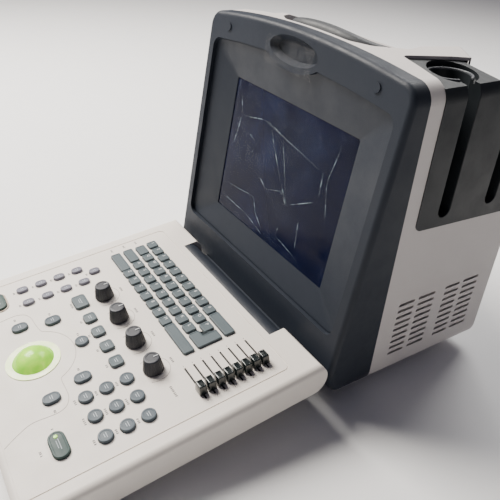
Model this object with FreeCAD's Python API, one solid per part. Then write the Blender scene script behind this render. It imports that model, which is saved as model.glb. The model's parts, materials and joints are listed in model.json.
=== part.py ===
import FreeCAD, Part
import math
import os

from FreeCAD import Vector

# Bench-top ultrasound scanner: an upright body with a leaning screen, and a control console
# that folds up against the screen. Millimetres, +Z up, +Y towards the back, origin on the
# table under the middle of the machine.

# body
half_width = 164.5          # half the body's width
base_z = -57.0              # underside of the body, below the console's top edge at the hinge
side_top = 267.0            # height of the body's top above x = arch_x
crown_top = 276.5           # height of the top at the middle
arch_x = 146.5              # where the arched top meets the corner rounds
seam_y = 55.0               # plane where the dark front frame meets the light shell
rear_y = 225.5
slope_start_y = 176.0       # the right shoulder runs flat to here, then slopes to the rear face
slope_end_z = 216.0
fall_start_y = 74.0         # behind the strip the rest of the top falls away to the back
fall_rate = 0.27
shoulder_x = 78.0           # inner edge of the right shoulder
shoulder_end_y = 151.0      # its pointed outer end hangs over the rear holder
corner_fall_x = -92.0       # the left top corner is cut back outward from here
corner_fall_rate = 0.48
wall = 3.0
tray_top = -48.0            # the base tray ends here and the upper shell begins
lean = 7.9                  # the screen face leans back by this angle, degrees

# console
console_tilt = 6.5          # the console slopes down to the front, degrees
console_half = 165.5
console_front = -308.6
console_thick = 36.5
console_wall = 2.5
ear_inner = 98.0            # the hinge block sits between the two ears
ear_radius = 19.0
hinge_y = -28.0             # hinge axis in the console's frame
hinge_z = -14.0
barrel_radius = 13.8
pin_radius = 4.0
split_z = -20.0             # the console's two halves meet here

# table contact and the shift that puts the origin at bottom centre
table_z = -73.0
shift = Vector(0, 39.5, -table_z)

# screen
screen_w = 213.0
screen_low = 45.5           # measured up the leaning face
screen_high = 205.8
panel_half = 150.5
panel_low = 16.0
panel_side = 242.0
panel_crown = 250.0
panel_depth = 5.0
screen_depth = 13.4

# probe holders on the right
cup_x = 134.0
cup_front_y = 107.0
cup_rear_y = 174.0
cup_radius = 18.5
cup_wall = 2.5
cup_slot = 16.0
recess_radius = 23.2
cup_front_rim = 262.0
cup_rear_rim = 245.0
cup_floor = 134.0
facet_high = 269.5          # top of the holder moulding at its inner edge
facet_rate = 0.14           # and its fall towards the outside
holder_step_y = 141.0       # the rear holder is lower from here back
holder_rear_z = 244.0

# controls
key_pitch = 16.76
key_w = 13.2
key_d = 12.0
key_rows = [-66.5, -82.2, -98.25, -114.5]
key_top = 2.8
key_foot = -6.0
press_gap = 0.4             # clearance around every button
knob_xs = [-59.8, -15.0, 29.9, 74.8]
knob_y = -154.0
knob_base = 10.8
knob_tip = 8.2
knob_height = 17.0
shaft_radius = 3.0
tgc_first_y = -128.0
tgc_pitch = 9.94
tgc_count = 8
tgc_slot = (90.5, 135.5)
tgc_slot_width = 2.0
tgc_cap_length = 11.0
tgc_cap_width = 8.8
tgc_cap_high = 11.5
tgc_rest_x = 126.0
ball_x = -5.0
ball_y = -250.5
ball_z = -10.3
ball_radius = 23.0
board_top = -10.9
board_thick = 1.6

X = Vector(1, 0, 0)
Y = Vector(0, 1, 0)
Z = Vector(0, 0, 1)
ORIGIN = Vector(0, 0, 0)


# helpers
def box(x0, x1, y0, y1, z0, z1):
    return Part.makeBox(x1 - x0, y1 - y0, z1 - z0, Vector(x0, y0, z0))


def rod(radius, start, end):
    run = end - start
    return Part.makeCylinder(radius, run.Length, start, run)


def post(radius, x, y, z0, z1):
    return Part.makeCylinder(radius, z1 - z0, Vector(x, y, z0), Z)


def fuse(shapes):
    if len(shapes) == 1:
        return shapes[0]
    return shapes[0].multiFuse(shapes[1:])


def together(shapes):
    return Part.makeCompound(shapes)


def outline(points, place):
    """A closed wire of straight edges and corner arcs; each point is (a, b, corner radius)."""
    count = len(points)
    starts = []
    ends = []
    arcs = []
    for i in range(count):
        a, b, radius = points[i]
        here = Vector(a, b, 0)
        before = Vector(points[i - 1][0], points[i - 1][1], 0) - here
        after = Vector(points[(i + 1) % count][0], points[(i + 1) % count][1], 0) - here
        before.normalize()
        after.normalize()
        if radius <= 0:
            starts.append(here)
            ends.append(here)
            arcs.append(None)
            continue
        half = before.getAngle(after) / 2
        trim = radius / math.tan(half)
        middle = before + after
        middle.normalize()
        centre = here + middle * (radius / math.sin(half))
        starts.append(here + before * trim)
        ends.append(here + after * trim)
        arcs.append(centre - middle * radius)
    edges = []
    for i in range(count):
        if arcs[i] is not None:
            edges.append(Part.Arc(place(starts[i]), place(arcs[i]), place(ends[i])).toShape())
        following = starts[(i + 1) % count]
        if (following - ends[i]).Length > 1e-6:
            edges.append(Part.LineSegment(place(ends[i]), place(following)).toShape())
    return Part.Wire(edges)


def prismX(points, x0, x1):
    wire = outline(points, lambda p: Vector(x0, p.x, p.y))
    return Part.Face(wire).extrude(Vector(x1 - x0, 0, 0))


def prismZ(points, z0, z1):
    wire = outline(points, lambda p: Vector(p.x, p.y, z0))
    return Part.Face(wire).extrude(Vector(0, 0, z1 - z0))


def prismY(points, y0, y1):
    wire = outline(points, lambda p: Vector(p.x, y0, p.y))
    return Part.Face(wire).extrude(Vector(0, y1 - y0, 0))


def pad(x, y, w, d, radius, z0, z1):
    """Upright prism with a rounded rectangle w by d as its plan."""
    radius = min(radius, w / 2 - 0.01, d / 2 - 0.01)
    points = [(x - w / 2, y - d / 2, radius), (x + w / 2, y - d / 2, radius),
              (x + w / 2, y + d / 2, radius), (x - w / 2, y + d / 2, radius)]
    return prismZ(points, z0, z1)


def turned(shape, angle):
    result = shape.copy()
    result.rotate(ORIGIN, X, angle)
    return result


def inConsole(shape):
    return turned(shape, console_tilt)


def inFace(shape):
    return turned(shape, -lean)


def archedWire(half, low, side, crown, corner, y):
    """Rounded rectangle with an arched top, in the plane at y."""
    arch = half - corner
    p = [Vector(-half, y, low + corner), Vector(-half, y, side - corner),
         Vector(-arch, y, side), Vector(arch, y, side),
         Vector(half, y, side - corner), Vector(half, y, low + corner),
         Vector(arch, y, low), Vector(-arch, y, low)]
    k = corner * (1 - math.sqrt(0.5))
    return Part.Wire([
        Part.LineSegment(p[0], p[1]).toShape(),
        Part.Arc(p[1], Vector(-half + k, y, side - k), p[2]).toShape(),
        Part.Arc(p[2], Vector(0, y, crown), p[3]).toShape(),
        Part.Arc(p[3], Vector(half - k, y, side - k), p[4]).toShape(),
        Part.LineSegment(p[4], p[5]).toShape(),
        Part.Arc(p[5], Vector(half - k, y, low + k), p[6]).toShape(),
        Part.LineSegment(p[6], p[7]).toShape(),
        Part.Arc(p[7], Vector(-half + k, y, low + k), p[0]).toShape()])


def archedPrism(half, low, side, crown, corner, y0, y1):
    return Part.Face(archedWire(half, low, side, crown, corner, y0)).extrude(Vector(0, y1 - y0, 0))


# body shells
def bodySection(inset, y0, y1):
    """The body's cross-section, shrunk all round by inset."""
    half = half_width - inset
    corner = half_width - arch_x - inset
    return archedPrism(half, base_z + inset, side_top - inset, crown_top - inset, corner, y0, y1)


def frontProfile(inset):
    lean_run = math.tan(math.radians(lean))
    face = inset / math.cos(math.radians(lean))
    low = base_z + inset
    top = crown_top + 20
    return prismX([(low * lean_run + face, low, 34 - inset), (seam_y, low, 0),
                   (seam_y, top, 0), (top * lean_run + face, top, 0)], -200, 200)


def shellProfile(inset):
    low = base_z + inset
    return prismX([(seam_y, low, 0), (rear_y - inset, low, 8), (rear_y - inset, slope_end_z, 20),
                   (slope_start_y, crown_top - inset + 6, 14), (seam_y, crown_top + 20, 0)], -200, 200)


def softened(shape, radius, picks):
    edges = [e for e in shape.Edges if picks(e)]
    for size in (radius, radius * 0.7, radius * 0.4):
        try:
            result = shape.makeFillet(size, edges)
            if result.isValid():
                return result
        except Part.OCCError:
            continue
    return shape


def frontFrame():
    outer = bodySection(0, -30, seam_y).common(frontProfile(0))
    faceNormal = Vector(0, -math.cos(math.radians(lean)), math.sin(math.radians(lean)))
    frontFace = max(outer.Faces, key=lambda f: f.Area * max(0, f.normalAt(0, 0).dot(faceNormal) - 0.99))
    keys = {e.hashCode() for e in frontFace.Edges}
    outer = softened(outer, 5.5, lambda e: e.hashCode() in keys and e.BoundBox.ZMax > -20)
    inner = bodySection(wall, -30, seam_y + 1).common(frontProfile(wall))
    frame = outer.cut(inner)
    rim = archedPrism(panel_half + 2.5, panel_low - 2.5, panel_side + 2.5, panel_crown + 2.5, 14.5, 1, 8)
    frame = frame.fuse(inFace(rim).common(outer))
    cup = scoopPad(0.5, 11)
    frame = frame.fuse(inFace(cup).common(outer))
    window = archedPrism(panel_half, panel_low, panel_side, panel_crown, 12, -30, 30)
    frame = frame.cut(inFace(window.cut(scoopPad(-30, 30))))
    frame = frame.cut(inFace(scoopHollow()))
    holes = [rod(2.6, Vector(s * 121.5, -10, 257), Vector(s * 121.5, 12, 257)) for s in (-1, 1)]
    return frame.cut(inFace(together(holes)))


scoop_v = 258.5             # middle of the finger scoop, up the face


def ovalWire(half_w, half_h, y):
    oval = Part.Ellipse(Vector(0, y, scoop_v), half_w, half_h)
    oval.rotate(FreeCAD.Placement(Vector(0, y, scoop_v), X, 90))
    return Part.Wire([oval.toShape()])


def scoopPad(y0, y1):
    """Raised oval lip round the scoop, which dips below the rim."""
    return Part.Face(ovalWire(47, 19.5, y0)).extrude(Vector(0, y1 - y0, 0))


def scoopHollow():
    """Finger scoop: an oval pocket with a sloping wall."""
    return Part.makeLoft([ovalWire(42, 15, -3), ovalWire(34, 9, 8)], True, False)


def screenBezel():
    """Funnel-shaped panel that runs in from the rim to the edge of the screen."""
    opening = (screen_w / 2, screen_low, screen_high, screen_high + 0.4, 2)

    def funnel(margin, start, end):
        wide = archedWire(panel_half - margin, panel_low + margin, panel_side - margin,
                          panel_crown - margin, 12 - margin, start)
        tight = archedWire(*opening, end)
        return Part.makeLoft([wide, tight], True, True)

    back = archedPrism(panel_half, panel_low, panel_side, panel_crown, 12, panel_depth, panel_depth + 2.5)
    back = back.fuse(funnel(0, panel_depth + 2.5, screen_depth + 1))
    bezel = back.cut(funnel(2, panel_depth, screen_depth))
    bezel = bezel.cut(archedPrism(*opening, 0, 30))
    return inFace(bezel.cut(scoopPad(-5, 30)))


def screenGlass():
    depth = screen_depth + 1
    return inFace(box(-110.5, 110.5, depth, depth + 1.6, screen_low - 4, screen_high + 4))


def lcdModule():
    depth = screen_depth + 2.6
    module = box(-118, 118, depth, depth + 9, screen_low - 10, screen_high + 10)
    ribs = [box(-118, 118, depth + 9, depth + 10.5, v, v + 6) for v in (50, 122, 195)]
    return inFace(fuse([module] + ribs))


pod_plan = [(170, 72, 0), (152, 72, 10), (99, 81, 5), (119, 149, 0), (111.5, 156, 0), (111, 230, 0),
            (170, 230, 0)]


def podSpace():
    """The corner of the body that the probe holder moulding fills."""
    plan = prismZ(pod_plan, 100, 300)
    side = prismX([(72, 300, 0), (72, 128, 8), (230, 119, 0), (230, 300, 0)], 60, 200)
    return plan.common(side)


def beak():
    """Pointed lip of the light top that hangs over the rear holder."""
    plan = [(104, 130, 0), (113.5, 130, 0), (121.5, 150, 2), (114, 152, 2), (104, 152, 0)]
    return prismZ(plan, 263, 300)


def ventSlots(side):
    """Two groups of louvre slots, each two columns of nine."""
    slots = []
    for group_y in (77, 145.5):
        for start, length in ((0, 23), (28.4, 25)):
            for row in range(9):
                z = 39.5 - row * 8.0
                y = group_y + start
                slots.append(prismX([(y, z - 1.75, 1.7), (y + length, z - 1.75, 1.7),
                                     (y + length, z + 1.75, 1.7), (y, z + 1.75, 1.7)],
                                    side * (half_width - 5) - 4, side * (half_width - 5) + 10))
    return slots


pocket_floor = 243.0
pocket_rear = 122.0


def mirrored(right):
    """A closed plan from its right half, which runs from front to back."""
    return right + [(-x, y, radius) for x, y, radius in reversed(right)]


def pocketSpace(grow, low):
    """Crescent-shaped finger pocket round the carrying handle."""
    right = [(50 + grow, 60 - grow, 22), (71 + grow, 72, 16), (87 + grow, 103, 8),
             (84 + grow, pocket_rear + grow, 4)]
    return prismZ(mirrored(right), low, 300)


def topFall(inset):
    """Space above the shell behind the strip, to the left of and behind the holders' shoulder."""
    start = fall_start_y - inset
    high = crown_top - inset
    drop = fall_rate * (240 - start)
    back = prismX([(start, high, 0), (240, high - drop, 0), (240, 320, 0), (start, 320, 0)], -200, 200)
    edge = shoulder_x + inset
    end = shoulder_end_y - inset
    plan = prismZ([(-200, start, 0), (edge, start, 0), (edge + 2, 105, 0), (edge + 16, end + 16, 0),
                   (122, end, 0), (200, end, 0), (200, 240, 0), (-200, 240, 0)], 200, 320)
    left = corner_fall_x + inset * 0.5
    reach = -200 - left
    corner = prismY([(left, 272 - inset, 0), (left + reach, 272 - inset + reach * corner_fall_rate, 0),
                     (-200, 320, 0), (left, 320, 0)], start, 240)
    return back.common(plan).fuse(corner)


def shellTube():
    outer = bodySection(0, seam_y, rear_y).common(shellProfile(0))
    outer = outer.cut(topFall(0))
    outer = softened(outer, 6, lambda e: e.BoundBox.YMin > 150 and e.BoundBox.ZMin > -50)
    inner = bodySection(wall, seam_y - 1, rear_y).common(shellProfile(wall).fuse(
        box(-200, 200, seam_y - 1, seam_y, base_z + wall, crown_top - wall)))
    return outer, inner.cut(topFall(wall))


rear_panel_half = 106.0
rear_panel_z = (-38.0, 196.0)
left_panel = (78.0, 206.0, 128.0, 236.0)


def leftOpening(inset):
    y0, y1, z0, z1 = left_panel
    return prismX([(y0 + inset, z0 + inset, 8), (y1 - inset, z0 + inset, 8), (y1 - inset, z1 - inset, 8),
                   (y0 + inset, z1 - inset, 8)], -half_width - 5, -half_width + 5)


def rearOpening(inset):
    z0, z1 = rear_panel_z
    w = rear_panel_half - inset
    return prismY([(-w, z0 + inset, 6), (w, z0 + inset, 6), (w, z1 - inset, 6), (-w, z1 - inset, 6)],
                  rear_y - 6, rear_y + 6)


def mainShell():
    outer, inner = shellTube()
    tub = pocketSpace(2.5, pocket_floor - 2.5)
    shell = outer.cut(inner).fuse(tub.common(outer))
    tools = [pocketSpace(0, pocket_floor), podSpace().cut(beak()), box(-200, 200, 0, 300, -80, tray_top)]
    tools += [leftOpening(0), rearOpening(0)]
    tools += ventSlots(1) + ventSlots(-1)
    return shell.cut(tools)


def baseTray():
    outer, inner = shellTube()
    tray = outer.cut(inner).common(box(-200, 200, seam_y, 300, -80, tray_top))
    bosses = [post(6, s * 148, y, base_z + 1, tray_top) for s in (-1, 1) for y in (85, 195)]
    return tray.fuse(bosses)


# probe holders
def holderCups():
    """Each holder as (y of its centre, height of its rim)."""
    return ((cup_front_y, cup_front_rim), (cup_rear_y, cup_rear_rim))


def cableSlot(y):
    """Slot down the outer side of a holder, round at the bottom."""
    half = cup_slot / 2
    low = cup_floor + half + 2
    slot = box(cup_x, 200, y - half, y + half, low, 300)
    return slot.fuse(rod(half, Vector(cup_x, y, low), Vector(200, y, low)))


def cupRecess(grow):
    """Crescent-shaped step behind and inboard of the front rim."""
    return post(recess_radius + grow, cup_x - 1, cup_front_y + 4, cup_front_rim - 3 - grow, 300)


def aboveFacet(grow):
    """Space above the top of the holder moulding, which falls gently outwards."""
    span = 110.0
    top = facet_high - grow
    return prismY([(90, top + 9 * facet_rate, 0), (90 + span, top + (9 - span) * facet_rate, 0),
                   (90 + span, 300, 0), (90, 300, 0)], 60, 232)


def holderStep(grow):
    """Space above the lower, rear holder."""
    step = prismX([(holder_step_y, 300, 0), (holder_step_y, 258, 14), (178, holder_rear_z, 40),
                   (240, holder_rear_z - 5, 0), (240, 300, 0)], 60, 200)
    return step.translated(Vector(0, 0, -grow))


def probePod():
    outer = bodySection(-0.8, seam_y, rear_y).common(shellProfile(0))
    block = podSpace().common(outer)
    raw = block.cut([holderStep(0), aboveFacet(0), beak(), cupRecess(0)])
    inner_side = half_width - 2.4
    plan = [(inner_side, 75, 8), (104, 83.5, 4), (121.5, 151, 0), (114.5, 158, 0),
            (114, rear_y - 3, 0), (inner_side, rear_y - 3, 0)]
    cavity = prismZ(plan, 132, facet_high).cut([aboveFacet(3), holderStep(3), cupRecess(3)])
    inside = bodySection(2.4, seam_y, rear_y)
    pod = raw.cut(cavity.common(inside))
    for y, rim in holderCups():
        tube = post(cup_radius + cup_wall, cup_x, y, cup_floor - 3, rim)
        half = cup_slot / 2 + cup_wall
        channel = box(cup_x, 200, y - half, y + half, cup_floor - 3, 300).common(raw)
        pod = pod.fuse([tube, channel])
    for y, rim in holderCups():
        pod = pod.cut([post(cup_radius, cup_x, y, cup_floor, 300), cableSlot(y)])
    slotEdges = [y + side * cup_slot / 2 for y, rim in holderCups() for side in (-1, 1)]
    pod = softened(pod, 2.0, lambda e: e.BoundBox.XMin > half_width and e.BoundBox.ZLength > 60
                   and min(abs(e.BoundBox.YMin - y) for y in slotEdges) < 0.1 and e.BoundBox.YLength < 0.1)
    return pod.cut(cupRings())


def cupRings():
    rings = []
    for y, rim in holderCups():
        ring = post(cup_radius + cup_wall, cup_x, y, rim, rim + 1.6)
        ring = ring.cut([post(cup_radius, cup_x, y, rim - 1, rim + 3),
                         box(cup_x, 200, y - cup_slot / 2, y + cup_slot / 2, rim - 1, rim + 3)])
        rings.append(softened(ring, 0.6, lambda e, top=rim + 1.6: e.BoundBox.ZMin > top - 0.1))
    return together(rings)


# handle, feet and fixings
handle_path = [(0, 74, 272.4), (36, 75.5, 270.2), (59, 86, 265.4), (71, 108, 259.8), (72.5, 131, 249)]
handle_wide = 19.0
handle_high = 20.0


def handle():
    """Curved grip of rounded section that sinks into the sloping top at both ends."""
    points = [Vector(-x, y, z) for x, y, z in reversed(handle_path[1:])] + [Vector(*p) for p in handle_path]
    curve = Part.BSplineCurve()
    curve.interpolate(points)
    spine = Part.Wire([curve.toShape()])
    end = points[0]
    w = handle_wide / 2
    h = handle_high / 2
    section = outline([(end.x - w, end.z - h, 8), (end.x + w, end.z - h, 8), (end.x + w, end.z + h, 8),
                       (end.x - w, end.z + h, 8)], lambda p: Vector(p.x, end.y, p.y))
    bar = spine.makePipeShell([section], True, False)
    body = shellTube()[0].cut(pocketSpace(0, pocket_floor))
    return bar.cut(body)


def feet():
    pads = []
    for s in (-1, 1):
        for y in (88, 190):
            pads.append(Part.makeCone(11, 13, base_z - table_z, Vector(s * 125, y, table_z), Z))
    return together(pads)


def consoleFeet():
    above = box(-300, 300, -500, 300, table_z, 0)
    return together([inConsole(post(8, s * 140, -288, -48, -console_thick)).common(above) for s in (-1, 1)])


def bumpers():
    discs = []
    for s in (-1, 1):
        head = rod(4.4, Vector(s * 121.5, 0, 257), Vector(s * 121.5, -1.2, 257))
        stem = rod(2.6, Vector(s * 121.5, 0, 257), Vector(s * 121.5, 8, 257))
        discs.append(inFace(head.fuse(stem)))
    return together(discs)


def hingeBlock():
    centre = inConsolePoint(0, hinge_y, hinge_z)
    barrel = rod(barrel_radius, Vector(-ear_inner + 0.5, centre.y, centre.z),
                 Vector(ear_inner - 0.5, centre.y, centre.z))
    web = box(-ear_inner + 6, ear_inner - 6, centre.y, 4, centre.z - barrel_radius, centre.z - 5)
    solidBody = bodySection(0, -30, seam_y).common(frontProfile(0))
    block = barrel.fuse(web.cut(solidBody))
    bores = [rod(pin_radius, Vector(s * 80, centre.y, centre.z), Vector(s * 120, centre.y, centre.z))
             for s in (-1, 1)]
    return block.cut(bores)


def inConsolePoint(x, y, z):
    c = math.radians(console_tilt)
    return Vector(x, y * math.cos(c) - z * math.sin(c), y * math.sin(c) + z * math.cos(c))


def hingePins():
    centre = inConsolePoint(0, hinge_y, hinge_z)
    return together([rod(pin_radius, Vector(s * 80, centre.y, centre.z), Vector(s * 122, centre.y, centre.z))
                     for s in (-1, 1)])


# inside and back of the body
def chassis():
    floor = box(-150, 150, 62, 214, -47.5, -46)
    wallPlate = box(-150, 104, 62, 63.5, -46, 235)
    lugs = [post(5, s * 120, y, base_z + wall, -47.5) for s in (-1, 1) for y in (75, 200)]
    return fuse([floor, wallPlate] + lugs)


def mainBoard():
    board = box(-140, 95, 70, 71.6, -40, 120)
    chips = [box(-110 + 44 * i, -110 + 44 * i + 28, 71.6, 75, 20, 48) for i in range(4)]
    edge = box(-120, -40, 71.6, 84, -30, -16)
    struts = [rod(3, Vector(x, 63.5, z), Vector(x, 70, z)) for x in (-130, 85) for z in (-30, 110)]
    return fuse([board, edge] + chips + struts)


def powerSupply():
    case = box(-145, -45, 100, 205, -46, 0)
    lid = box(-146, -44, 99, 206, 0, 1.5)
    return case.fuse(lid)


def speaker():
    cone = Part.makeCone(20, 12, 14, Vector(110, 100, -46), Z)
    return cone.fuse(post(9, 110, 100, -32, -24))


fan_x = 60.0
fan_z = 70.0
fan_depth = 25.0
fan_back = rear_y - wall
port_xs = (-80, -50, -20)


def fanFrame():
    y0 = fan_back - fan_depth
    body = box(fan_x - 40, fan_x + 40, y0, fan_back, fan_z - 40, fan_z + 40)
    body = body.cut(rod(38, Vector(fan_x, y0 - 1, fan_z), Vector(fan_x, fan_back + 1, fan_z)))
    arms = [box(fan_x - 39, fan_x + 39, fan_back - 3, fan_back, fan_z - 2, fan_z + 2),
            box(fan_x - 2, fan_x + 2, fan_back - 3, fan_back, fan_z - 39, fan_z + 39)]
    hub = rod(14, Vector(fan_x, fan_back - 3, fan_z), Vector(fan_x, fan_back, fan_z))
    spindle = rod(2, Vector(fan_x, y0 + 4, fan_z), Vector(fan_x, fan_back - 3, fan_z))
    return fuse([body, hub, spindle] + arms)


def fanRotor():
    y0 = fan_back - fan_depth + 2
    y1 = fan_back - 4
    blades = []
    for i in range(7):
        blade = box(fan_x - 1, fan_x + 1, y0 + 1, y1 - 1, fan_z + 15, fan_z + 36)
        blade.rotate(Vector(fan_x, (y0 + y1) / 2, fan_z), Z, 35)
        blade.rotate(Vector(fan_x, 0, fan_z), Y, i * 360 / 7)
        blades.append(blade)
    limit = rod(36.5, Vector(fan_x, y0 + 1, fan_z), Vector(fan_x, y1 - 1, fan_z))
    hub = rod(17, Vector(fan_x, y0, fan_z), Vector(fan_x, y1, fan_z))
    rotor = fuse([hub] + [b.common(limit) for b in blades])
    return rotor.cut(rod(2.06, Vector(fan_x, y0 - 1, fan_z), Vector(fan_x, y1 + 1, fan_z)))


socket_ys = (112.0, 172.0)
inlet_x = -80.0
inlet_z = 18.0


def rearPanel():
    plate = rearOpening(0).common(box(-200, 200, rear_y - wall, rear_y, -60, 240))
    cuts = [box(inlet_x - 14, inlet_x + 14, 200, 240, inlet_z - 10, inlet_z + 10)]
    for row in range(9):
        z = fan_z - 32 + row * 8
        reach = math.sqrt(36 ** 2 - (z - fan_z) ** 2)
        cuts.append(box(fan_x - reach, fan_x + reach, 200, 240, z - 1.75, z + 1.75))
    for x in port_xs:
        cuts.append(box(x - 9, x + 9, 200, 240, 40, 52))
    for row in range(6):
        cuts.append(box(-90, 10, 200, 240, 110 + row * 9, 113.5 + row * 9))
    return plate.cut(cuts)


def acInlet():
    body = box(inlet_x - 14, inlet_x + 14, rear_y - 24, rear_y, inlet_z - 10, inlet_z + 10)
    flange = box(inlet_x - 18, inlet_x + 18, rear_y, rear_y + 1.5, inlet_z - 14, inlet_z + 14)
    hollow = box(inlet_x - 12, inlet_x + 12, rear_y - 18, rear_y + 5, inlet_z - 8, inlet_z + 8)
    blade = box(inlet_x - 2, inlet_x + 2, rear_y - 19, rear_y - 4, inlet_z - 1, inlet_z + 1)
    blades = [blade.translated(Vector(dx, 0, dz)) for dx, dz in ((-7, -2), (0, 3), (7, -2))]
    return body.fuse(flange).cut(hollow).fuse(blades)


def rearPorts():
    ports = []
    for x in port_xs:
        shellBox = box(x - 9, x + 9, rear_y - 16, rear_y - 0.5, 40, 52)
        ports.append(shellBox.cut(box(x - 7.5, x + 7.5, rear_y - 12, rear_y, 41.5, 50.5)))
    return together(ports)


def socketPanel():
    plate = leftOpening(0).common(box(-half_width, -half_width + wall, 0, 300, 0, 300))
    cuts = [box(-200, -100, y - 22, y + 22, 150, 214) for y in socket_ys]
    return plate.cut(cuts)


def probeSockets():
    """Two shallow rectangular sockets with a flat contact block at the bottom."""
    sockets = []
    for y in socket_ys:
        body = box(-half_width + 1, -half_width + 26, y - 22, y + 22, 150, 214)
        sockets.append(body.cut(box(-half_width, -half_width + 13, y - 17, y + 17, 156, 208)))
    return together(sockets)


# console shells
def consoleSolid(inset):
    """Slab with rounded ear ends, shrunk all round by inset."""
    low = -console_thick + inset
    front = console_front + inset
    slab = prismX([(front, low, 9 - inset), (front, -inset, 6 - inset), (hinge_y + 2, -inset, 0),
                   (hinge_y + 2, low, 0)], -console_half + inset, console_half - inset)
    if inset:
        return slab
    ear = rod(ear_radius, Vector(-console_half, hinge_y, hinge_z), Vector(console_half, hinge_y, hinge_z))
    ear = ear.common(box(-200, 200, hinge_y - 8, 20, -console_thick, 0))
    slab = slab.cut(box(-200, 200, hinge_y - 2, 50, -60, -console_thick + 3.5))
    return slab.fuse(ear).removeSplitter()


def consoleOuter():
    solid = consoleSolid(0)
    solid = softened(solid, 7, lambda e: abs(abs(e.BoundBox.XMin) - console_half) < 0.01
                     and e.BoundBox.XLength < 0.01 and e.BoundBox.YLength > 100)
    ends = [Vector(x, hinge_y, hinge_z) for x in (-ear_inner, ear_inner)]
    notch = rod(barrel_radius + 0.5, *ends)
    notch = notch.fuse(box(-ear_inner, ear_inner, hinge_y - 5, 30, -60, 10))
    return solid.cut(notch)


def consoleCavity():
    return consoleSolid(console_wall).cut(box(-200, 200, -50, 50, -60, 10))


def pinBores():
    return [rod(pin_radius + 0.06, Vector(s * 90, hinge_y, hinge_z), Vector(s * 123, hinge_y, hinge_z))
            for s in (-1, 1)]


def groovePath():
    """Edge of the printed overlay: a shallow groove set into the console's top."""
    outer = pad(0, -172, 296, 262, 6, -0.7, 5)
    inner = pad(0, -172, 293.6, 259.6, 5, -2, 6)
    return outer.cut(inner)


def consoleTop(openings):
    top = consoleOuter().cut(consoleCavity())
    top = top.common(box(-200, 200, -400, 50, split_z, 10))
    return top.cut(openings + pinBores() + [groovePath().common(box(-200, 200, -302, 0, -5, 5))])


def consoleBottom():
    low = consoleOuter().cut(consoleCavity())
    low = low.common(box(-200, 200, -400, 50, -60, split_z))
    bosses = [post(5, s * 150, y, -console_thick + 1, split_z) for s in (-1, 1) for y in (-70, -180, -290)]
    return low.fuse(bosses)


# controls
def keyCells():
    """Every key as (row, middle x, width); rows run from the back to the front."""
    cells = []
    for i in range(10):
        cells.append((0, -121.4 + i * key_pitch, key_w))
    cells.append((0, 56.8, 37.0))
    cells.append((1, -117.6, 19.0))
    for i in range(10):
        cells.append((1, -98.96 + i * key_pitch, key_w))
    cells.append((2, -114.6, 27.5))
    for i in range(9):
        cells.append((2, -91.5 + i * key_pitch, key_w))
    cells.append((3, -109.0, 38.0))
    for i in range(7):
        cells.append((3, -82.25 + i * key_pitch, key_w))
    cells.append((3, 51.2, 48.4))
    return cells


def keyShape(row, x, width, grow, z0, z1):
    return pad(x, key_rows[row], width + 2 * grow, key_d + 2 * grow, 2 + grow, z0, z1)


def enterShape(grow, z0, z1):
    back = key_rows[1] + key_d / 2 + grow
    step = key_rows[2] + key_d / 2 + grow
    front = key_rows[2] - key_d / 2 - grow
    points = [(52.5 - grow, front, 2), (75.4 + grow, front, 2), (75.4 + grow, back, 2),
              (62.0 - grow, back, 2), (62.0 - grow, step, 1), (52.5 - grow, step, 2)]
    return prismZ(points, z0, z1)


def keyRow(row):
    caps = [keyShape(r, x, w, 0, key_foot, key_top) for r, x, w in keyCells() if r == row]
    if row == 1:
        caps.append(enterShape(0, key_foot, key_top))
    return together(caps)


def keyOpenings():
    holes = [keyShape(r, x, w, press_gap, -4, 4) for r, x, w in keyCells()]
    holes.append(enterShape(press_gap, -4, 4))
    return holes


# press buttons: name, places (x, y), width, depth
button_banks = [
    ("round_buttons_left", [(72.1, -181.0), (72.1, -201.6), (72.1, -222.1)], 14.0, 14.0),
    ("round_buttons_middle", [(98.1, -181.0), (98.1, -201.6), (98.1, -222.1)], 14.0, 14.0),
    ("round_buttons_right", [(124.3, -181.0), (124.3, -201.6), (124.3, -222.1)], 14.0, 14.0),
    ("freeze_button", [(110.5, -259.5)], 30.0, 15.0),
    ("power_button", [(-117.0, -259.5)], 30.0, 15.0),
    ("select_button_right", [(55.6, -249.7)], 12.5, 17.0),
    ("cursor_button_right", [(46.5, -216.3)], 12.5, 17.0),
    ("select_button_left", [(-60.3, -249.7)], 12.5, 17.0),
    ("cursor_button_left", [(-51.8, -216.5)], 12.5, 17.0),
    ("centre_button", [(-2.5, -200.4)], 14.0, 14.0),
    ("function_buttons", [(-124.5, -230.6), (-124.5, -208.8), (-124.5, -187.0), (-124.5, -165.2),
                          (-98.2, -230.1), (-98.2, -208.3), (-98.2, -186.6), (-98.2, -164.9),
                          (-111.3, -147.6)], 9.0, 13.0),
    ("mode_keys", [(-64.6, -181.0, 22.5, 15.5), (-32.3, -181.0), (-6.7, -181.0),
                   (18.9, -181.0), (44.8, -181.0)], 14.5, 13.5)]


def cornerFor(name, width, depth):
    if "mode" in name:
        return 3.5
    return min(width, depth) / 2


def buttonBank(name, places, width, depth):
    corner = cornerFor(name, width, depth)
    caps = []
    for x, y, *size in places:
        w, d = size or (width, depth)
        caps.append(pad(x, y, w, d, corner, key_foot, key_top + 0.4))
    return together(caps)


def buttonOpenings():
    holes = []
    for name, places, width, depth in button_banks:
        corner = cornerFor(name, width, depth) + press_gap
        for x, y, *size in places:
            w, d = size or (width, depth)
            holes.append(pad(x, y, w + 2 * press_gap, d + 2 * press_gap, corner, -4, 4))
    return holes


def knob(x):
    skirt = Part.makeCone(knob_base, knob_tip, knob_height - 0.6, Vector(x, knob_y, 0.6), Z)
    skirt = softened(skirt, 1, lambda e: e.BoundBox.ZMin > knob_height - 1)
    return skirt.fuse(post(shaft_radius, x, knob_y, -9.5, 0.6))


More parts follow.
